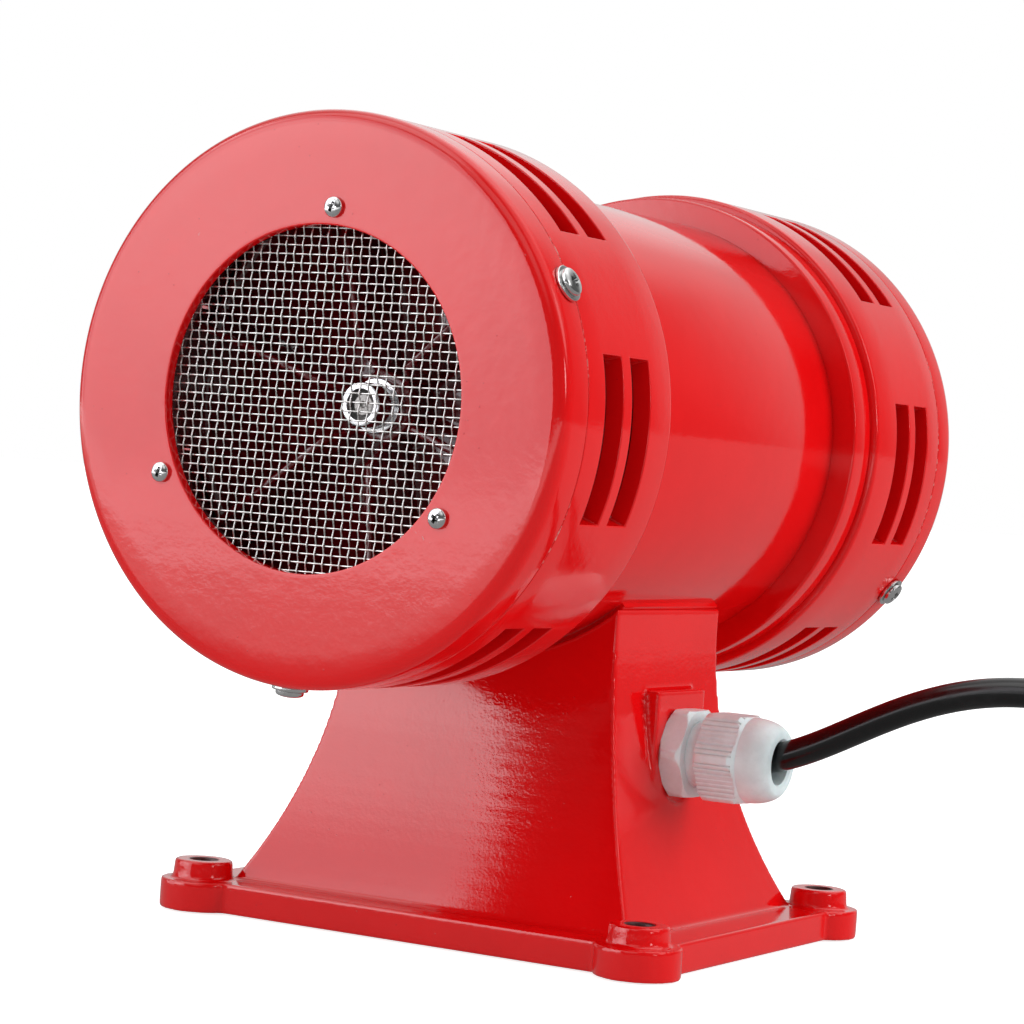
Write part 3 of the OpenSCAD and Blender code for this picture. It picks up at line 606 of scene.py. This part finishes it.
def rear_shield():
    """End shield whose rim shows between the rear drum and the tube."""
    start, end = 57.52, 68.3
    ring_in = 46.0
    plug, plug_end = TUBE_R - 4.05, end + 3.7
    web_start = end - 6.0
    bore, stop_bore, boss = 11.01, 9.0, 15.0
    boss_start, boss_end, bore_end = web_start - 3, end + 2.3, end - 0.3
    corners = [(bore, boss_start, 0.3), (boss, boss_start, 0.6), (boss, web_start, 1.0),
               (ring_in, web_start, 1.0), (ring_in, start, 0.4), (RIM_R, start, 0.8),
               (RIM_R, end, 0.8), (plug, end, 0.3), (plug, plug_end, 0.5),
               (ring_in, plug_end, 0.5), (ring_in, end, 0.5), (boss, end, 0.8),
               (boss, boss_end, 0.5), (stop_bore, boss_end, 0.3), (stop_bore, bore_end, 0.1),
               (bore, bore_end, 0.1)]
    bm = bmesh.new()
    revolve(bm, fillet(corners), at_end(1))
    post_r, post_at = 4.0, 28.0
    tip = span("brush_plate", Y)[1] + 0.02
    root = HALF_LEN - end + 1
    for s in (-1, 1):
        centre = Vector((0, 0, AXIS_H + s * post_at))
        sweep(bm, [centre + Vector((0, tip, 0)), centre + Vector((0, root, 0))], post_r, 32,
              up=Vector((0, 0, 1)))
    piece("rear_end_shield_casting", bm, paint, "housing", "rear_end_shield",
          sharp=40)


def woven_mesh(side):
    """Plain-weave grille: nearly straight wires across, crimped wires up and down."""
    name = ENDS[side] + "_mesh"
    wire = 0.42
    pitch_z, pitch_x = 2.185, 2.385
    reach = span(name, X)[1]
    first, last = depths(side, name)
    middle = (first + last) / 2
    weft_lift = 0.19
    warp_lift = wire - weft_lift
    per_crossing = 6
    sides = 8
    bm = bmesh.new()

    def point(x, z, depth):
        return Vector((x, side * (HALF_LEN - depth), AXIS_H + z))

    rows = int((reach - 1) / pitch_z)
    columns = int((reach - 1) / pitch_x)
    for i in range(-rows, rows + 1):
        half = math.sqrt(reach ** 2 - (i * pitch_z) ** 2)
        steps = int(2 * half / pitch_x * per_crossing)
        path = []
        for k in range(steps + 1):
            x = -half + 2 * half * k / steps
            bend = weft_lift * math.cos(math.pi * (x / pitch_x + i))
            path.append(point(x, i * pitch_z, middle + bend))
        sweep(bm, path, wire / 2, sides, up=Vector((0, 0, 1)))
    for i in range(-columns, columns + 1):
        half = math.sqrt(reach ** 2 - (i * pitch_x) ** 2)
        steps = int(2 * half / pitch_z * per_crossing)
        path = []
        for k in range(steps + 1):
            z = -half + 2 * half * k / steps
            bend = warp_lift * math.cos(math.pi * (z / pitch_z + i))
            path.append(point(i * pitch_x, z, middle - bend))
        sweep(bm, path, wire / 2, sides, up=Vector((1, 0, 0)))
    piece(name + "_weave", bm, wire_steel, "housing", name, sharp=70)


# ---- fasteners ----

def add_solid(bm, outline, matrix, sides=40):
    """Adds a turned solid whose outline of (radius, height) starts and ends on the axis."""
    rows = []
    for k in range(sides):
        a = 2 * math.pi * k / sides
        rows.append([bm.verts.new(matrix @ Vector((r * math.cos(a), r * math.sin(a), h)))
                     for r, h in outline[1:-1]])
    stitch(bm, rows, wrap_rows=True)
    for end, column in ((outline[0], 0), (outline[-1], -1)):
        tip = bm.verts.new(matrix @ Vector((0, 0, end[1])))
        for k in range(sides):
            bm.faces.new((rows[k][column], rows[(k + 1) % sides][column], tip))


def screw_head(head_r, head_h, shank_r, shank_len):
    """One pan-head screw with a cross recess and thread rings; its seat is at z = 0."""
    bm = bmesh.new()
    rim = head_h * 0.45
    steps = 8
    dome = [(head_r * math.cos(a), rim + (head_h - rim) * math.sin(a))
            for a in (math.pi / 2 * k / steps for k in range(steps))]
    pitch, root_r, tip_r = shank_r * 0.34, shank_r * 0.86, shank_r * 0.7
    plain_len = 0.3
    threads = []
    level = -2 * plain_len
    while level > -shank_len + pitch:
        threads += [(shank_r, level), (root_r, level - pitch / 2)]
        level -= pitch
    outline = [(0, -shank_len), (tip_r, -shank_len)] + threads[::-1]
    outline += [(shank_r, -plain_len), (shank_r, 0), (head_r * 0.94, 0), (head_r, head_h * 0.12)]
    outline += dome + [(head_r * 0.05, head_h), (0, head_h)]
    add_solid(bm, outline, Matrix.Identity(4))
    bmesh.ops.recalc_face_normals(bm, faces=bm.faces)
    mesh = bpy.data.meshes.new("screw")
    bm.to_mesh(mesh)
    bm.free()
    body = bpy.data.objects.new("screw", mesh)
    bpy.context.scene.collection.objects.link(body)
    arm, thick = head_r * 0.62, head_r * 0.2
    recess_floor, clear_of_head = head_h * 0.12, head_h * 1.3
    cross = bmesh.new()
    for turn in (0, 90):
        made = bmesh.ops.create_cube(cross, size=1)["verts"]
        for v in made:
            low = v.co.z < 0
            v.co = Vector((v.co.x * 2 * arm * (0.45 if low else 1),
                           v.co.y * 2 * thick * (0.7 if low else 1),
                           recess_floor if low else clear_of_head))
        bmesh.ops.rotate(cross, verts=made, matrix=Matrix.Rotation(math.radians(turn), 3, "Z"))
    cutter_mesh = bpy.data.meshes.new("cross")
    cross.to_mesh(cutter_mesh)
    cross.free()
    cutter = bpy.data.objects.new("cross", cutter_mesh)
    bpy.context.scene.collection.objects.link(cutter)
    cut = body.modifiers.new("cross", "BOOLEAN")
    cut.operation = "DIFFERENCE"
    cut.solver = "EXACT"
    cut.use_self = True
    cut.object = cutter
    evaluated = body.evaluated_get(bpy.context.evaluated_depsgraph_get())
    result = bpy.data.meshes.new_from_object(evaluated)
    bpy.data.objects.remove(body)
    bpy.data.objects.remove(cutter)
    return result


def washer_mesh(hole, rim, thick):
    """Flat washer on z = 0 with rounded edges."""
    def place(r, angle, height):
        a = math.radians(angle)
        return Vector((r * math.cos(a), r * math.sin(a), height))

    bm = bmesh.new()
    outline = fillet([(hole, 0), (rim, 0), (rim, thick), (hole, thick)], 0.25)
    revolve(bm, outline, place, turns(48))
    mesh = bpy.data.meshes.new("washer")
    bm.to_mesh(mesh)
    bm.free()
    return mesh


def copies(name, mesh, places, stands_for):
    """One piece of plated steel made of a mesh repeated at several places."""
    bm = bmesh.new()
    for place in places:
        part = mesh.copy()
        part.transform(place)
        bm.from_mesh(part)
    piece(name, bm, zinc, "housing", stands_for)


def frame_at(origin, outward, turn):
    """Matrix that puts z along `outward` at `origin`, turned about it."""
    return (Matrix.Translation(origin) @ outward.to_track_quat("Z", "Y").to_matrix().to_4x4()
            @ Matrix.Rotation(math.radians(turn), 4, "Z"))


def face_screw_places(rng):
    """Three screws in each cover's face, midway between slots, each turned by chance."""
    radius = 46.3
    out = []
    for side in ENDS:
        for a in THIRDS:
            origin = at_end(side)(radius, SLOT_PHASE[side] + side * 30 + a, -0.02)
            out.append(frame_at(origin, Vector((0, side, 0)), rng.uniform(0, 90)))
    return out


def side_screw_places(rng, lift):
    """Two screws in each cover's skirt, `lift` above it."""
    depth = 8.6
    out = []
    for side in ENDS:
        for a in SIDE_PAIR:
            angle = SLOT_PHASE[side] - side * 30 + a
            origin = at_end(side)(DRUM_R + lift, angle, depth)
            outward = Vector((math.cos(math.radians(angle)), 0, math.sin(math.radians(angle))))
            out.append(frame_at(origin, outward, rng.uniform(0, 90)))
    return out


def fasteners():
    rng = random.Random(5)
    thick, hole, rim = 1.0, 2.1, 4.5
    m3 = screw_head(head_r=2.5, head_h=1.7, shank_r=1.5, shank_len=9.4)
    m4 = screw_head(head_r=3.5, head_h=1.8, shank_r=2.0, shank_len=8)
    washer = washer_mesh(hole, rim, thick)
    copies("cover_face_screw_set", m3, face_screw_places(rng), "cover_face_screws")
    copies("side_washer_set", washer, side_screw_places(rng, 0.02), "side_washers")
    copies("side_screw_set", m4, side_screw_places(rng, thick + 0.04), "side_screws")


# ---- rotor hubs ----

def hub_bush(side):
    """Turned bush with a collar, chamfered at the mouth."""
    name = ENDS[side] + "_hub_bush"
    first, last = depths(side, name)
    bore, body, collar = 4.01, 5.6, 7.0
    collar_from, collar_to = 30, 33
    corners = [(bore, first, 0), (body, first, 0.5), (body, collar_from, 0.2),
               (collar, collar_from, 0.4), (collar, collar_to, 0.4), (body, collar_to, 0.1),
               (body, last, 0.3), (bore, last, 0.2)]
    bm = bmesh.new()
    revolve(bm, fillet(corners), at_end(side), turns(96))
    piece(name + "_turned", bm, ground_steel, "rotor", name)


def shaft():
    """Motor shaft: a step up inside the armature, and chamfered, centre-drilled ends."""
    front, rear = span("motor_shaft", Y)
    thin, thick = 4.0, 5.0
    core_half = HALF_LEN - 68.1
    flat, chamfer = 2.5, 1.4
    drill_r, drill_depth = 0.9, 0.8
    outline = [(0, front + drill_depth), (drill_r, front), (flat, front),
               (thin, front + chamfer), (thin, -core_half - 0.3), (thick - 0.3, -core_half),
               (thick, -core_half + 0.3), (thick, core_half - 0.3), (thick - 0.3, core_half),
               (thin, core_half + 0.3), (thin, rear - chamfer), (flat, rear), (drill_r, rear),
               (0, rear - drill_depth)]
    bm = bmesh.new()
    lie_down = Matrix.Rotation(math.radians(-90), 4, "X")
    add_solid(bm, outline, Matrix.Translation((0, 0, AXIS_H)) @ lie_down, 64)
    piece("motor_shaft_turned", bm, shaft_steel, "rotor", "motor_shaft", sharp=30)


# ---- cable gland and cable ----

GLAND_AF = 23.0
HEX_T = 6.2
NECK = 3.8
CAP_AT = PAD_X + HEX_T + NECK
CAP_HEX = 12.0


def hex_radius(angle, flats):
    """Radius of a hexagon with flats at the top and bottom."""
    return flats / 2 / math.cos(math.radians(angle % 60 - 30))


def polar_solid(bm, radius, stations, bore, steps):
    """Adds a closed ring solid: radius(angle, x) outside, bore radius inside, x at stations."""
    rows = []
    for a in turns(steps):
        outer = [bm.verts.new(along_gland(radius(a, x), a, x)) for x in stations]
        inner = [bm.verts.new(along_gland(bore, a, x)) for x in (stations[-1], stations[0])]
        rows.append(outer + inner)
    stitch(bm, rows, wrap_rows=True, wrap_columns=True)


def gland_body():
    """Chamfered hexagon on the pad, with a hollow threaded neck through it."""
    bm = bmesh.new()
    start = PAD_X + 0.02
    chamfer = 1.0
    corner = 12.9
    hex_bore = 8.9

    def radius(angle, x):
        from_edge = min(x - start, start + HEX_T - x)
        cone = corner - max(0, chamfer - from_edge) * 1.1
        return min(hex_radius(angle, GLAND_AF), cone, corner)

    inset = [0, 0.15, 0.35, 0.6, 1.0]
    stations = [start + v for v in inset] + [start + HEX_T - v for v in reversed(inset)]
    polar_solid(bm, radius, stations, hex_bore, 240)
    bore, seat, neck_r, thread = 5.2, 7.6, 8.85, 9.2
    tail, mouth = PAD_X - 17, CAP_AT + CAP_HEX - 2
    neck = [(bore, tail), (thread, tail), (thread, PAD_X), (neck_r, PAD_X + 0.1),
            (neck_r, mouth), (seat, mouth), (seat, CAP_AT), (bore, CAP_AT)]
    revolve(bm, fillet(neck, 0.15), along_gland, turns(96))
    piece("gland_body_moulding", bm, nylon, "housing", "gland_body", sharp=30)


def gland_cap():
    """Ribbed hexagon nut that ends in a smooth dome round the cable."""
    bm = bmesh.new()
    rib_pitch, rib_depth = 1.45, 0.4
    ribbed_half = 5.4
    corner = 12.85
    nut_bore = 9.2
    rear_chamfer, front_chamfer = 0.9, 1.9

    def radius(angle, x):
        local = math.radians(angle % 60 - 30)
        across = GLAND_AF / 2 * math.tan(local)
        along = x - CAP_AT
        cone = (corner - max(0, rear_chamfer - along) * 0.9
                - max(0, along - CAP_HEX + front_chamfer) * 0.85)
        r = min(GLAND_AF / 2 / math.cos(local), cone)
        if abs(across) < ribbed_half and 0.2 < along < CAP_HEX - 1.0:
            r -= rib_depth * (0.5 - 0.5 * math.cos(2 * math.pi * across / rib_pitch)) ** 2
        return r

    stations = [0.2, 0.3, 0.6, 1.0, 3, 6, 9, CAP_HEX - front_chamfer, CAP_HEX - 1.4,
                CAP_HEX - 1.01, CAP_HEX - 0.99, CAP_HEX - 0.4, CAP_HEX]
    polar_solid(bm, radius, [CAP_AT + s for s in stations], nut_bore, 720)
    dome_r, crown_r, bore, mouth = 11.35, 7.4, 8.95, 5.8
    dome_end = span("gland_cap_nut", X)[1] - CAP_AT
    outline = [(bore, 0.3), (dome_r, 0.3), (dome_r, CAP_HEX)]
    crown, steps = 78, 12
    for k in range(1, steps + 1):
        a = math.radians(crown * k / steps)
        rise = (dome_end - CAP_HEX) * math.sin(a) / math.sin(math.radians(crown))
        outline.append((crown_r + (dome_r - crown_r) * math.cos(a), CAP_HEX + rise))
    outline += [(mouth + 0.7, dome_end), (mouth, dome_end - 0.6), (mouth, CAP_HEX + 3),
                (bore, CAP_HEX + 0.6)]
    revolve(bm, [(r, CAP_AT + x) for r, x in outline], along_gland, turns(144))
    piece("gland_cap_moulding", bm, nylon, "housing", "gland_cap_nut", sharp=38)


def bezier(points, t):
    """Point of a cubic curve with four control points."""
    a, b, c, d = points
    return a * (1 - t) ** 3 + b * 3 * t * (1 - t) ** 2 + c * 3 * t * t * (1 - t) + d * t ** 3


def cable():
    """Round jacket that leaves the gland and rises in a lazy bend."""
    jacket_r = 3.8
    steps = 90
    straight = [(18, GLAND_H - 1.2), (30, GLAND_H), (45, GLAND_H), (55, GLAND_H)]
    bend = [Vector(p) for p in ((66, GLAND_H), (92, GLAND_H + 1), (112, GLAND_H + 30.7),
                                (158, GLAND_H + 24.2))]
    path = [Vector((x, 0, z)) for x, z in straight]
    path += [Vector((p.x, 0, p.y)) for p in (bezier(bend, k / steps) for k in range(steps + 1))]
    bm = bmesh.new()
    sweep(bm, path, jacket_r, 40)
    piece("power_cable_jacket", bm, jacket, "housing", "power_cable", sharp=50)


for end in ENDS:
    cover(end)
    drum(end)
    woven_mesh(end)
    hub_bush(end)
    # The rotors get the far darker inside paint: painted shade behind the grilles.
    cast_copy(ENDS[end] + "_rotor", shaded_inner_paint, "rotor", voxel=0.8, passes=3)
motor_tube()
rear_shield()
fasteners()
shaft()
gland_body()
gland_cap()
cable()
cast_copy("base_pedestal", foot_paint, "housing", voxel=0.5, passes=12)


# ---- stage, light and camera ----

def floor():
    """Wide pale ground that fades to white, so that it has no horizon."""
    s = Shader("pale_floor")
    grain = s.remap(s.noise(40, 3), 0.3, 0.7)
    pale = s.mix(grain, rgb(0.78, 0.78, 0.785), rgb(0.80, 0.80, 0.80))
    paths = s.node("ShaderNodeLightPath").outputs
    seen, mirrored = paths["Is Camera Ray"], paths["Is Glossy Ray"]
    across = s.node("ShaderNodeVectorMath", operation="DOT_PRODUCT")
    s.feed(across.inputs[0], s.coords)
    across.inputs[1].default_value = towards(-30, 0)
    lit_side = s.remap(across.outputs["Value"], 0.7, 1.3, 0.25, 1.3)
    glow = s.math("ADD", s.math("MULTIPLY", seen, 0.8), s.math("MULTIPLY", mirrored, lit_side))
    s.set(Base_Color=s.mix(mirrored, pale, rgb(0, 0, 0)), Roughness=0.8,
          Emission_Color=rgb(1, 1, 1), Emission_Strength=glow)
    bm = bmesh.new()
    half = 12.0
    cuts = 24
    rows = [[bm.verts.new((-half + 2 * half * i / cuts, -half + 2 * half * j / cuts, -0.0004))
             for j in range(cuts + 1)] for i in range(cuts + 1)]
    stitch(bm, rows)
    mesh = bpy.data.meshes.new("floor")
    bm.to_mesh(mesh)
    bm.free()
    mesh.materials.append(s.material)
    ground = bpy.data.objects.new("floor", mesh)
    bpy.context.scene.collection.objects.link(ground)


def towards(azimuth, elevation):
    """Unit vector; azimuth runs from the front (-Y) towards +X, in degrees."""
    a, e = math.radians(azimuth), math.radians(elevation)
    return Vector((math.sin(a) * math.cos(e), -math.cos(a) * math.cos(e), math.sin(e)))


def softbox(name, place, width, height, radiance, seen_as, colour=(1, 1, 1)):
    """Rectangular light aimed at the siren. It either lights matt surfaces or is mirrored."""
    light = bpy.data.lights.new(name, "AREA")
    light.shape = "RECTANGLE"
    light.size = width
    light.size_y = height
    light.energy = radiance * math.pi * width * height
    light.color = colour
    obj = bpy.data.objects.new(name, light)
    obj.location = place
    obj.rotation_mode = "QUATERNION"
    aim = Vector((0, 0, AXIS_H * MM)) - Vector(place)
    obj.rotation_quaternion = aim.to_track_quat("-Z", "Y")
    obj.visible_camera = False
    obj.visible_diffuse = seen_as == "light"
    obj.visible_glossy = seen_as == "mirrored"
    bpy.context.scene.collection.objects.link(obj)


# Soft patches of the room that the gloss paint mirrors:
# azimuth, elevation, half-angle that is full, half-angle where it ends, strength.
ROOM_PATCHES = (
    (-42, 14, 4, 20, 1.6),
    (-33, 8, 2, 9, 0.7),
    (-68, 41, 4, 16, 1.5),
    (-36, 62, 8, 26, 2.0),
    (6, 38, 6, 24, 0.8),
    (72, 12, 1, 7, 6.0),
    (97, 28, 6, 15, 1.3),
    (100, 55, 14, 40, 0.7),
    (166, 18, 6, 22, 0.07),
    (172, 64, 14, 38, 0.5),
    (-168, 4, 10, 40, 0.4),
    (-148, 62, 14, 46, 0.8),
    (-148, 27, 6, 24, 0.4),
    (-120, 15, 10, 40, 0.2),
)


def surroundings():
    """White to the camera, an even fill to matt surfaces and soft patches in reflections."""
    seen, fill, dim_room = 1.0, 0.63, 0.11
    world = bpy.data.worlds.new("studio")
    bpy.context.scene.world = world
    world.use_nodes = True
    nodes, links = world.node_tree.nodes, world.node_tree.links
    sky = nodes["Background"]
    paths = nodes.new("ShaderNodeLightPath")
    direction = nodes.new("ShaderNodeTexCoord").outputs["Generated"]
    room = None
    for azimuth, elevation, full, gone, strength in ROOM_PATCHES:
        facing = nodes.new("ShaderNodeVectorMath")
        facing.operation = "DOT_PRODUCT"
        links.new(direction, facing.inputs[0])
        facing.inputs[1].default_value = towards(azimuth, elevation)
        patch = nodes.new("ShaderNodeMapRange")
        patch.interpolation_type = "SMOOTHSTEP"
        links.new(facing.outputs["Value"], patch.inputs["Value"])
        patch.inputs["From Min"].default_value = math.cos(math.radians(gone))
        patch.inputs["From Max"].default_value = math.cos(math.radians(full))
        patch.inputs["To Max"].default_value = strength
        total = nodes.new("ShaderNodeMath")
        total.operation = "ADD"
        total.inputs[0].default_value = dim_room
        if room:
            links.new(room, total.inputs[0])
        links.new(patch.outputs["Result"], total.inputs[1])
        room = total.outputs["Value"]
    mirrored = nodes.new("ShaderNodeMix")
    mirrored.inputs["A"].default_value = fill
    links.new(room, mirrored.inputs["B"])
    links.new(paths.outputs["Is Glossy Ray"], mirrored.inputs["Factor"])
    white = nodes.new("ShaderNodeMix")
    white.inputs["B"].default_value = seen
    links.new(mirrored.outputs["Result"], white.inputs["A"])
    links.new(paths.outputs["Is Camera Ray"], white.inputs["Factor"])
    links.new(white.outputs["Result"], sky.inputs["Strength"])
    sky.inputs["Color"].default_value = (1, 1, 1, 1)


def camera():
    """Camera at the viewing angle, with a slight roll and lens shift."""
    azimuth, elevation, roll = math.radians(28.84), math.radians(1.46), math.radians(4.17)
    place = Vector((0.4107, -0.7522, 0.1234))
    back = Vector((math.sin(azimuth) * math.cos(elevation),
                   -math.cos(azimuth) * math.cos(elevation), math.sin(elevation)))
    right = (-back).cross(Vector((0, 0, 1))).normalized()
    up = right.cross(-back)
    rolled_right = right * math.cos(roll) + up * math.sin(roll)
    rolled_up = up * math.cos(roll) - right * math.sin(roll)
    data = bpy.data.cameras.new("camera")
    data.lens = 109.94
    data.sensor_width = 36
    data.shift_x = -0.0174
    data.shift_y = 0.0391
    data.clip_start = 0.01
    obj = bpy.data.objects.new("camera", data)
    obj.matrix_world = Matrix.Translation(place) @ Matrix(
        (rolled_right, rolled_up, back)).transposed().to_4x4()
    bpy.context.scene.collection.objects.link(obj)
    bpy.context.scene.camera = obj


floor()
surroundings()
softbox("left_window", (-1.74, -1.56, 0.75), 2.8, 2.3, 1.95, "mirrored", (1, 0.99, 1.06))
softbox("right_key", (2.3, 1.1, 1.2), 1.6, 1.6, 5.4, "light")
softbox("front_fill", (-0.9, -2.2, 0.9), 1.5, 1.5, 1.6, "light")
camera()
bpy.context.scene.view_settings.view_transform = "Standard"
